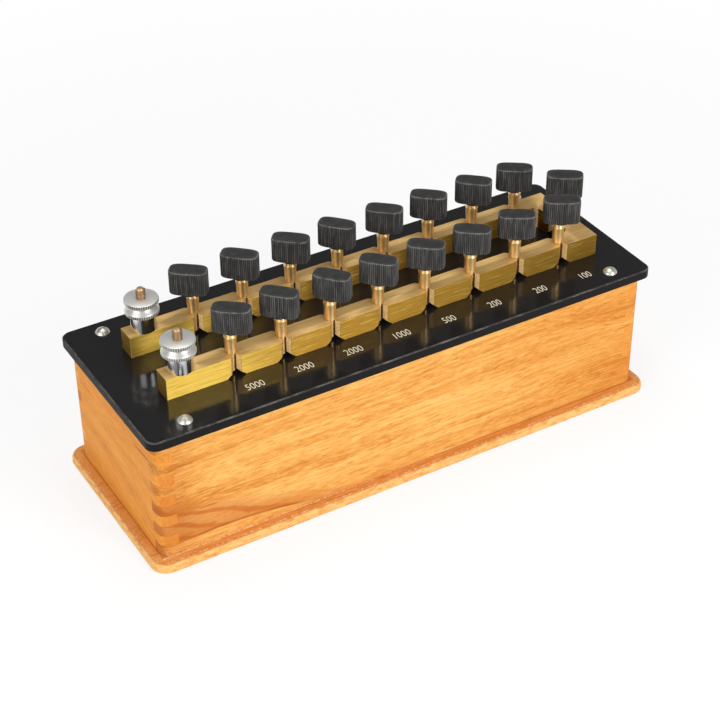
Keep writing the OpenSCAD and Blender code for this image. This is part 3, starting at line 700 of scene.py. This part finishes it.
def knob_plan(number):
    """Turn, half length and half width of a knob's solid, about its own middle."""
    centre = middle(f"plug_knob_{number}").xy
    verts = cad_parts[f"plug_knob_{number}"].data.vertices
    spots = {(round(v.co.x - centre.x, 6), round(v.co.y - centre.y, 6)) for v in verts}
    xx = sum(x * x for x, y in spots)
    yy = sum(y * y for x, y in spots)
    xy = sum(x * y for x, y in spots)
    turn = math.atan2(2 * xy, xx - yy) / 2
    along = Vector((math.cos(turn), math.sin(turn)))
    half_length = max(along.dot(Vector(s)) for s in spots)
    half_width = max(along.orthogonal().dot(Vector(s)) for s in spots)
    return turn, half_length, half_width


def add_knob(number, settings, material):
    """Fluted oval knob of one plug, with rounded edges, a slight dome and a boss."""
    node = f"plug_knob_{number}"
    low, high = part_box(node)
    centre = middle(node)
    turn, half_length, half_width = knob_plan(number)
    points_per_rib = 6
    count = settings.rib_count * points_per_rib
    angles = even_angles(half_length, half_width, settings.squareness, count)
    valley = [0.5 - 0.5 * math.cos(2 * math.pi * i / points_per_rib) for i in range(count)]
    spin = Matrix.Rotation(turn, 2)
    foot = low.z + settings.boss_h
    edge = settings.edge
    top = high.z - settings.dome
    bm = bmesh.new()
    crest_layer = bm.verts.layers.float.new("crest")
    edge_layer = bm.verts.layers.float.new("edge")

    def level(z, inset, ribbed, worn):
        points = []
        for angle, dip in zip(angles, valley):
            less = inset + dip * ribbed * settings.rib_depth
            flat = spin @ oval_point(angle, half_length - less, half_width - less, settings.squareness)
            points.append((centre.x + flat.x, centre.y + flat.y, z))
        verts, edges = add_ring(bm, points)
        for vert, dip in zip(verts, valley):
            vert[crest_layer] = (1 - dip) * ribbed
            vert[edge_layer] = worn
        return verts, edges

    boss = [settings.boss_d / 2] * count
    boss_rings = [add_ring(bm, round_points(centre, boss, z)) for z in (low.z, foot + RECESS)]
    rings = boss_rings + [
        level(foot, edge * 1.1, 0, 0),
        level(foot + edge * 0.25, edge * 0.45, 0.5, 0.1),
        level(foot + edge * 0.8, 0, 1, 0.1),
        level(foot + edge * 2.5, 0, 1, 0),
        level(top - edge * 2.0, 0, 1, 0),
        level(top - edge * 0.9, 0, 1, 0.1),
        level(top - edge * 0.35, edge * 0.14, 0.8, 0.6),
        level(top - edge * 0.06, edge * 0.5, 0.4, 1),
        level(top, edge * 0.9, 0, 0.1),
        level(top + settings.dome * 0.7, half_width * 0.5, 0, 0),
        level(high.z, half_width * 0.8, 0, 0),
    ]
    bridge(bm, rings)
    bmesh.ops.edgeloop_fill(bm, edges=rings[0][1])
    bmesh.ops.edgeloop_fill(bm, edges=rings[-1][1])
    bmesh.ops.recalc_face_normals(bm, faces=bm.faces)
    add_piece(f"knob_{number}", bm, material, f"plug_{number}", "knob_ebonite", node)


def add_pin(number, settings, material):
    """Turned taper pin of one plug, with its ring, its neck and its stem."""
    lift, steps = 0.1 * MM, 48
    node = f"plug_pin_{number}"
    low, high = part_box(node)
    knob_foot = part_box(f"plug_knob_{number}")[0].z
    ease = settings.pin_ease
    ring = settings.ring_d / 2
    neck = settings.neck_d / 2
    stem = settings.stem_d / 2
    ring_z = knob_foot - settings.ring_drop
    block_top = BLOCKS_HIGH.z

    def radius(z):
        return (settings.pin_d + settings.pin_taper * (z - block_top)) / 2

    profile = [
        (0, low.z), (radius(low.z) - ease, low.z), (radius(low.z + ease), low.z + ease),
        (radius(block_top), block_top + lift), (settings.pin_foot_d / 2, block_top + ease),
        (settings.pin_top_d / 2, ring_z - ease), (ring, ring_z),
        (ring, ring_z + ease), (neck, ring_z + 3 * ease), (neck, knob_foot), (stem, knob_foot),
        (stem, high.z), (0, high.z),
    ]
    bm = bmesh.new()
    spin_profile(bm, middle(node), profile, steps)
    add_piece(f"pin_{number}", bm, material, f"plug_{number}", "pin_brass", node)


# Levels of a thumb nut from its foot up: height and inset from its rim in millimetres, knurl and painted
# shade
NUT_LEVELS = (
    (0, 2.4, 0, 0), (0.1, 0.7, 0.5, 0), (0.3, 0.15, 1, 0), (1.8, 0, 1, 0), (1.95, 0.1, 0.4, 0),
    (2.1, 0.25, 0, 0), (2.4, 0.5, 0, 0), (2.9, 1, 0, 0), (3.5, 1.55, 0, 0), (4, 1.95, 0, 0.3),
    (4.5, 2.1, 0, 0.85), (5.1, 1.9, 0, 0.95), (5.5, 1.2, 0, 0.8), (5.65, 0.5, 0, 0.5),
    (5.75, 0.1, 0.8, 0), (5.9, 0, 1, 0), (7.2, 0, 1, 0), (7.4, 0.05, 0.5, 0),
    (7.52, 0.2, 0, 0), (7.6, 0.4, 0, 0),
)


def add_thumb_nut(side, settings, material):
    """Spool-shaped thumb nut with two knurled rims."""
    node = f"thumb_nut_{side}"
    low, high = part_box(node)
    centre = middle(node)
    rim = (high.x - low.x) / 2
    points_per_tooth = 4
    dips = [(0, 0.5, 1, 0.5)[i % points_per_tooth] for i in range(settings.teeth * points_per_tooth)]
    bm = bmesh.new()
    painted_shade_layer = bm.verts.layers.float.new("grime")

    def level(up_mm, inset_mm, knurled, grime):
        radii = [rim - inset_mm * MM - dip * knurled * settings.tooth_depth for dip in dips]
        verts, edges = add_ring(bm, round_points(centre, radii, low.z + up_mm * MM))
        for vert, dip in zip(verts, dips):
            # Valleys of the knurl and the groove under the upper rim get painted shade
            vert[painted_shade_layer] = max(grime, dip * knurled * 0.9)
        return verts, edges

    def bore_level(z):
        return add_ring(bm, round_points(centre, [settings.bore_d / 2] * len(dips), z))

    rings = [bore_level(low.z + RECESS)]
    rings += [level(*row) for row in NUT_LEVELS]
    rings.append(bore_level(high.z - RECESS))
    bridge(bm, rings + rings[:1])
    bmesh.ops.recalc_face_normals(bm, faces=bm.faces)
    add_piece(node + "_knurled", bm, material, f"nut_{side}", "nut_nickel", node)


# Rounded tip of a stud: inset from the root of its thread and drop from its top, in millimetres
STUD_TIP = ((0, 1.1), (0.15, 0.5), (0.5, 0.12), (1.1, 0))


def add_studs(settings, material):
    """Both terminal studs, with a thread where they stand free and a rounded tip."""
    low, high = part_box("terminal_studs")
    crest = (high.x - low.x) / 2
    root = crest - settings.thread_depth
    core = settings.stud_core_d / 2
    pitch = settings.thread_pitch
    steps, steps_per_turn = 32, 24
    tip = high.z
    thread_top = tip - 0.8 * MM
    sunk_root = root - 0.05 * MM
    bm = bmesh.new()
    for side in ("front", "rear"):
        centre = middle(f"thumb_nut_{side}")
        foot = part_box(f"thumb_nut_{side}")[1].z + STUD_GAP
        profile = [(0, low.z), (core, low.z), (core, foot), (root, foot + STUD_GAP)]
        profile += [(root - inset * MM, tip - drop * MM) for inset, drop in STUD_TIP]
        profile.append((0, tip))
        turned = bmesh.new()
        valley_layer = turned.verts.layers.float.new("grime")
        spin_profile(turned, centre, profile, steps)
        # The core of a stud below the top of its thread gets painted shade
        for vert in turned.verts:
            vert[valley_layer] = float(vert.co.z < thread_top)
        join(bm, turned)
        ridge = bmesh.new()
        ridge_layer = ridge.verts.layers.float.new("grime")
        half = pitch * 0.45
        start = foot + half
        turns = round((thread_top - start) / pitch)
        outline = ((sunk_root, start - half), (crest, start), (sunk_root, start + half))
        corners = [ridge.verts.new((centre.x + r, centre.y, z)) for r, z in outline]
        # The roots of the thread get painted shade and its crest none
        for vert, grime in zip(corners, (1, 0, 1)):
            vert[ridge_layer] = grime
        face = ridge.faces.new(corners)
        bmesh.ops.spin(
            ridge, geom=[face], cent=(centre.x, centre.y, 0), axis=(0, 0, 1),
            dvec=(0, 0, pitch / steps_per_turn), angle=2 * math.pi * turns,
            steps=steps_per_turn * turns, use_merge=False, use_duplicate=False,
        )
        bmesh.ops.recalc_face_normals(ridge, faces=ridge.faces)
        join(bm, ridge)
    add_piece("terminal_studs_threaded", bm, material, BOX, "stud_brass", "terminal_studs")


def join(bm, other):
    """Adds the geometry of another bmesh and frees it."""
    mesh = bpy.data.meshes.new("joined")
    other.to_mesh(mesh)
    other.free()
    bm.from_mesh(mesh)
    bpy.data.meshes.remove(mesh)


def add_collar(side, settings, material, *nodes):
    """One plated collar, with eased edges."""
    low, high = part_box("terminal_collars")
    radius = (high.x - low.x) / 2
    ease, steps = 0.25 * MM, 64
    bore = settings.bore_d / 2
    profile = [
        (bore, low.z), (radius - ease, low.z), (radius, low.z + ease), (radius, high.z - ease),
        (radius - ease, high.z), (bore, high.z), (bore, low.z),
    ]
    bm = bmesh.new()
    spin_profile(bm, middle(f"thumb_nut_{side}"), profile, steps)
    add_piece(f"collar_{side}", bm, material, BOX, "collar_chrome", *nodes)


def add_number(name, text, place, settings, material):
    """One filled number on the panel."""
    size_per_height, thinned = 1.38, 0.05 * MM
    curve = bpy.data.curves.new(name, "FONT")
    curve.body = text
    curve.align_x = "CENTER"
    curve.align_y = "CENTER"
    curve.size = settings.digit_height * size_per_height
    curve.extrude = settings.digit_rise / 2
    curve.offset = -thinned
    writer = add_object(name + "_writer", curve)
    bpy.context.view_layer.update()
    shaped = writer.evaluated_get(bpy.context.evaluated_depsgraph_get())
    mesh = bpy.data.meshes.new_from_object(shaped)
    bpy.data.objects.remove(writer)
    mesh.name = name
    mesh.transform(Matrix.Translation(place) @ Matrix.Diagonal((settings.digit_width, 1, 1, 1)))
    mesh.materials.clear()
    mesh.materials.append(material)
    piece = add_object(name, mesh)
    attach(piece, BOX)


class BoxOperator(bpy.types.Operator):
    """Common part of the operators of the resistance box."""

    bl_options = {"REGISTER", "UNDO"}


class RESISTANCE_OT_case(BoxOperator):
    """Finish the finger-jointed case and its base board"""

    bl_idname = "resistance.case"
    bl_label = "Case"

    def execute(self, context):
        settings = context.scene.resistance_case
        walls = {
            "front_wall": front_wood(settings),
            "rear_wall": long_wood("rear_wood", settings, settings.line, 31.0),
            "left_wall": left_wood(settings),
            "right_wall": side_wood("right_wood", settings, -0.2, 44.0),
        }
        for node, finish in walls.items():
            bm = eased_copy(node, settings.edge)
            add_piece(node + "_board", bm, finish.material, BOX, "case_wood", node, sharp=EASED_SHARP)
        dress(base_wood(settings).material, "base_board")
        return {"FINISHED"}


class RESISTANCE_OT_panel(BoxOperator):
    """Finish the ebonite panel, its screws and its numbers"""

    bl_idname = "resistance.panel"
    bl_label = "Panel"

    def execute(self, context):
        settings = context.scene.resistance_panel
        dress(ebonite(settings).material, "top_panel")
        dress(plated("screw_nickel", (0.74, 0.72, 0.64), 0.85, 0.32, 0.5).material, "panel_screws")
        pale = tuple(settings.digit_colour)
        dull = tuple(c * 0.8 for c in pale)
        filling = plain_finish("number_filling", pale, dull, (0.7, 0.7, 0.7), 0.0, 0.6)
        for number, value, shift in zip(FRONT_PLUGS, FRONT_VALUES, NUMBER_SHIFTS):
            x = middle(f"plug_pin_{number}").x + settings.digit_shift
            y = BLOCKS_LOW.y - settings.digit_gap - settings.digit_slant * x + shift * MM
            add_number(f"number_{number}", value, (x, y, PANEL_HIGH.z), settings, filling.material)
        return {"FINISHED"}


class RESISTANCE_OT_blocks(BoxOperator):
    """Make the brass blocks with eased edges"""

    bl_idname = "resistance.blocks"
    bl_label = "Brass blocks"

    def execute(self, context):
        settings = context.scene.resistance_brass
        finish = block_brass(settings)
        nodes = ["terminal_block_front", "terminal_block_rear", "front_row_blocks", "rear_row_blocks"]
        for node in nodes + ["end_block_front", "end_block_rear"]:
            bm = eased_copy(node, settings.edge)
            add_piece(node + "_brushed", bm, finish.material, BOX, "block_brass", node, sharp=EASED_SHARP)
        return {"FINISHED"}


class RESISTANCE_OT_plugs(BoxOperator):
    """Make the fluted knobs and the taper pins"""

    bl_idname = "resistance.plugs"
    bl_label = "Plugs"

    def execute(self, context):
        knob = context.scene.resistance_knob
        brass = context.scene.resistance_brass
        black = knob_ebonite(knob).material
        turned = turned_brass("pin_brass", tuple(brass.pin), 0.34, 0.9).material
        for number in PLUG_NUMBERS:
            add_knob(number, knob, black)
            add_pin(number, brass, turned)
        return {"FINISHED"}


class RESISTANCE_OT_terminals(BoxOperator):
    """Make the thumb nuts, studs and collars"""

    bl_idname = "resistance.terminals"
    bl_label = "Terminals"

    def execute(self, context):
        nut = context.scene.resistance_nut
        brass = context.scene.resistance_brass
        nickel = nut_nickel(nut)
        for side in ("front", "rear"):
            add_thumb_nut(side, nut, nickel.material)
        add_studs(brass, turned_brass("stud_brass", tuple(brass.stud), 0.45, 0.0).material)
        chrome = plated("collar_chrome", tuple(nut.chrome), 1.0, 0.12, 0.1, 0.7).material
        add_collar("front", nut, chrome, "terminal_collars")
        add_collar("rear", nut, chrome)
        return {"FINISHED"}


# Finishes inside the case, each with two tints, size of blotch in millimetres, metal, roughness and solids
INSIDE = (
    ("inner_brass", (0.62, 0.44, 0.17), (0.48, 0.33, 0.12), (3, 3, 3), 1.0, 0.38,
     ("block_screws", "bobbin_screws", "terminal_locknuts")),
    ("screw_steel", (0.56, 0.56, 0.55), (0.40, 0.40, 0.39), (2, 2, 2), 1.0, 0.35, ("base_screws",)),
    ("bobbin_wood", (0.68, 0.46, 0.25), (0.52, 0.33, 0.17), (4, 4, 0.8), 0.0, 0.6, ("coil_bobbins",)),
    ("coil_wire", (0.05, 0.17, 0.07), (0.03, 0.10, 0.04), (9, 9, 0.3), 0.0, 0.7, ("coil_windings",)),
    ("lead_copper", (0.76, 0.40, 0.22), (0.55, 0.28, 0.15), (2, 2, 2), 1.0, 0.3, ("coil_leads",)),
)


class RESISTANCE_OT_inside(BoxOperator):
    """Finish the coils, leads and screws inside the case"""

    bl_idname = "resistance.inside"
    bl_label = "Inside"

    def execute(self, context):
        for *look, nodes in INSIDE:
            dress(plain_finish(*look).material, *nodes)
        return {"FINISHED"}


# Lamps: name, place and size in metres, and power in watts
LAMPS = (
    ("key", (0.26, -0.92, 0.50), 0.5, 7.0),
    ("left", (-0.95, -0.35, 0.55), 0.8, 5.5),
    ("top", (0.00, 0.20, 1.20), 0.8, 5.0),
)
# Point that the lamps are turned to
LAMP_AIM = Vector((0, 0, 0.06))


class RESISTANCE_OT_stage(BoxOperator):
    """Set the floor, the lights and the camera"""

    bl_idname = "resistance.stage"
    bl_label = "Stage"

    def execute(self, context):
        settings = context.scene.resistance_stage
        context.scene.view_settings.view_transform = "Standard"
        add_floor(settings)
        add_world()
        add_camera(settings)
        for lamp in LAMPS:
            add_lamp(*lamp)
        return {"FINISHED"}


def add_floor(settings):
    """Pale floor that the camera and reflections see as nearly white, with a light shadow near the box."""
    least_white, near, far = 0.75, 0.2, 0.6
    bm = bmesh.new()
    bmesh.ops.create_grid(bm, x_segments=1, y_segments=1, size=settings.floor_size / 2)
    mesh = bpy.data.meshes.new("floor")
    bm.to_mesh(mesh)
    bm.free()
    finish = Finish("floor", roughness=1.0, base_color=tuple(settings.floor))
    lit = Wire(finish.tree, finish.shader.outputs[0])
    white = finish.node("ShaderNodeEmission", {}, {"Color": (1, 1, 1), "Strength": 1.0})
    spot = finish.node("ShaderNodeTexCoord", {}, {}, out=3)
    away = finish.node("ShaderNodeVectorMath", {"operation": "LENGTH"}, {0: spot}, out=1)
    whiteness = least_white + finish.step(away, near, far) * (1 - least_white)
    seen = seen_directly(finish) * whiteness
    shown = finish.node("ShaderNodeMixShader", {}, {0: seen, 1: lit, 2: white})
    feed(finish.tree, finish.tree.nodes["Material Output"].inputs["Surface"], shown)
    mesh.materials.append(finish.material)
    add_object("floor", mesh)


def seen_directly(nodes):
    """1 for rays from the camera and for reflected and transmitted rays."""
    path = nodes.node("ShaderNodeLightPath", {}, {}).socket.node
    camera, glossy, clear = [
        Wire(nodes.tree, path.outputs[f"Is {kind} Ray"]) for kind in ("Camera", "Glossy", "Transmission")
    ]
    return (camera + glossy + clear).maths("MINIMUM", 1.0)


def add_world():
    """Plain light from all round. The camera sees white, and metal sees white low down and grey above."""
    world = bpy.data.worlds.new("studio")
    world.use_nodes = True
    bpy.context.scene.world = world
    nodes = Nodes(world.node_tree)
    world.node_tree.nodes.clear()
    direction = nodes.node("ShaderNodeTexCoord", {}, {})
    height = nodes.node("ShaderNodeSeparateXYZ", {}, {"Vector": direction}, out=2)
    grey = [(v, v, v) for v in (1.0, 0.12, 0.12, 0.45)]
    walls = nodes.ramp(height, (0.05, grey[0]), (0.30, grey[1]), (0.80, grey[2]), (0.95, grey[3]))
    camera = nodes.node("ShaderNodeLightPath", {}, {})
    shown = nodes.mix(camera, walls, (1, 1, 1))
    light = nodes.node("ShaderNodeBackground", {}, {"Color": (0.97, 0.98, 1.0), "Strength": 0.42})
    seen = nodes.node("ShaderNodeBackground", {}, {"Color": shown, "Strength": 1.0})
    mixed = nodes.node("ShaderNodeMixShader", {}, {0: seen_directly(nodes), 1: light, 2: seen})
    output = world.node_tree.nodes.new("ShaderNodeOutputWorld")
    feed(world.node_tree, output.inputs["Surface"], mixed)


def add_camera(settings):
    """Camera at the photograph's viewing angle."""
    data = bpy.data.cameras.new("camera")
    data.lens = settings.lens
    data.sensor_width = 36
    camera = add_object("camera", data)
    turn = Matrix.Rotation(settings.azimuth, 4, "Z")
    tilt = Matrix.Rotation(math.pi / 2 - settings.elevation, 4, "X")
    roll = Matrix.Rotation(settings.roll, 4, "Z")
    away = Matrix.Translation((0, 0, settings.distance))
    camera.matrix_world = Matrix.Translation(settings.target) @ turn @ tilt @ roll @ away
    bpy.context.scene.camera = camera


def add_lamp(name, place, size, power):
    """Square soft lamp that points at the box."""
    data = bpy.data.lights.new(name, "AREA")
    data.shape = "SQUARE"
    data.size = size
    data.energy = power
    lamp = add_object(name, data)
    lamp.location = place
    aim = LAMP_AIM - Vector(place)
    lamp.rotation_mode = "QUATERNION"
    lamp.rotation_quaternion = aim.to_track_quat("-Z", "Y")


class RESISTANCE_PT_panel(bpy.types.Panel):
    """Sidebar panel that lists the steps"""

    bl_idname = "RESISTANCE_PT_panel"
    bl_label = "Resistance Box"
    bl_space_type = "VIEW_3D"
    bl_region_type = "UI"
    bl_category = "Resistance Box"

    def draw(self, context):
        for operator in OPERATORS:
            self.layout.operator(operator.bl_idname)
        for name in SETTINGS:
            group = getattr(context.scene, name)
            for key in group.bl_rna.properties.keys():
                if key not in ("rna_type", "name"):
                    self.layout.prop(group, key)


SETTINGS = {
    "resistance_case": CaseSettings,
    "resistance_panel": PanelSettings,
    "resistance_brass": BrassSettings,
    "resistance_knob": KnobSettings,
    "resistance_nut": NutSettings,
    "resistance_stage": StageSettings,
}
OPERATORS = (
    RESISTANCE_OT_case,
    RESISTANCE_OT_panel,
    RESISTANCE_OT_blocks,
    RESISTANCE_OT_plugs,
    RESISTANCE_OT_terminals,
    RESISTANCE_OT_inside,
    RESISTANCE_OT_stage,
)


def register():
    for group in SETTINGS.values():
        bpy.utils.register_class(group)
    for name, group in SETTINGS.items():
        setattr(bpy.types.Scene, name, PointerProperty(type=group))
    for operator in OPERATORS:
        bpy.utils.register_class(operator)
    bpy.utils.register_class(RESISTANCE_PT_panel)


def unregister():
    bpy.utils.unregister_class(RESISTANCE_PT_panel)
    for operator in reversed(OPERATORS):
        bpy.utils.unregister_class(operator)
    for name in SETTINGS:
        delattr(bpy.types.Scene, name)
    for group in reversed(SETTINGS.values()):
        bpy.utils.unregister_class(group)


def main():
    register()
    bpy.ops.resistance.case()
    bpy.ops.resistance.panel()
    bpy.ops.resistance.blocks()
    bpy.ops.resistance.plugs()
    bpy.ops.resistance.terminals()
    bpy.ops.resistance.inside()
    bpy.ops.resistance.stage()
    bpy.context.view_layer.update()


if __name__ == "__main__":
    main()
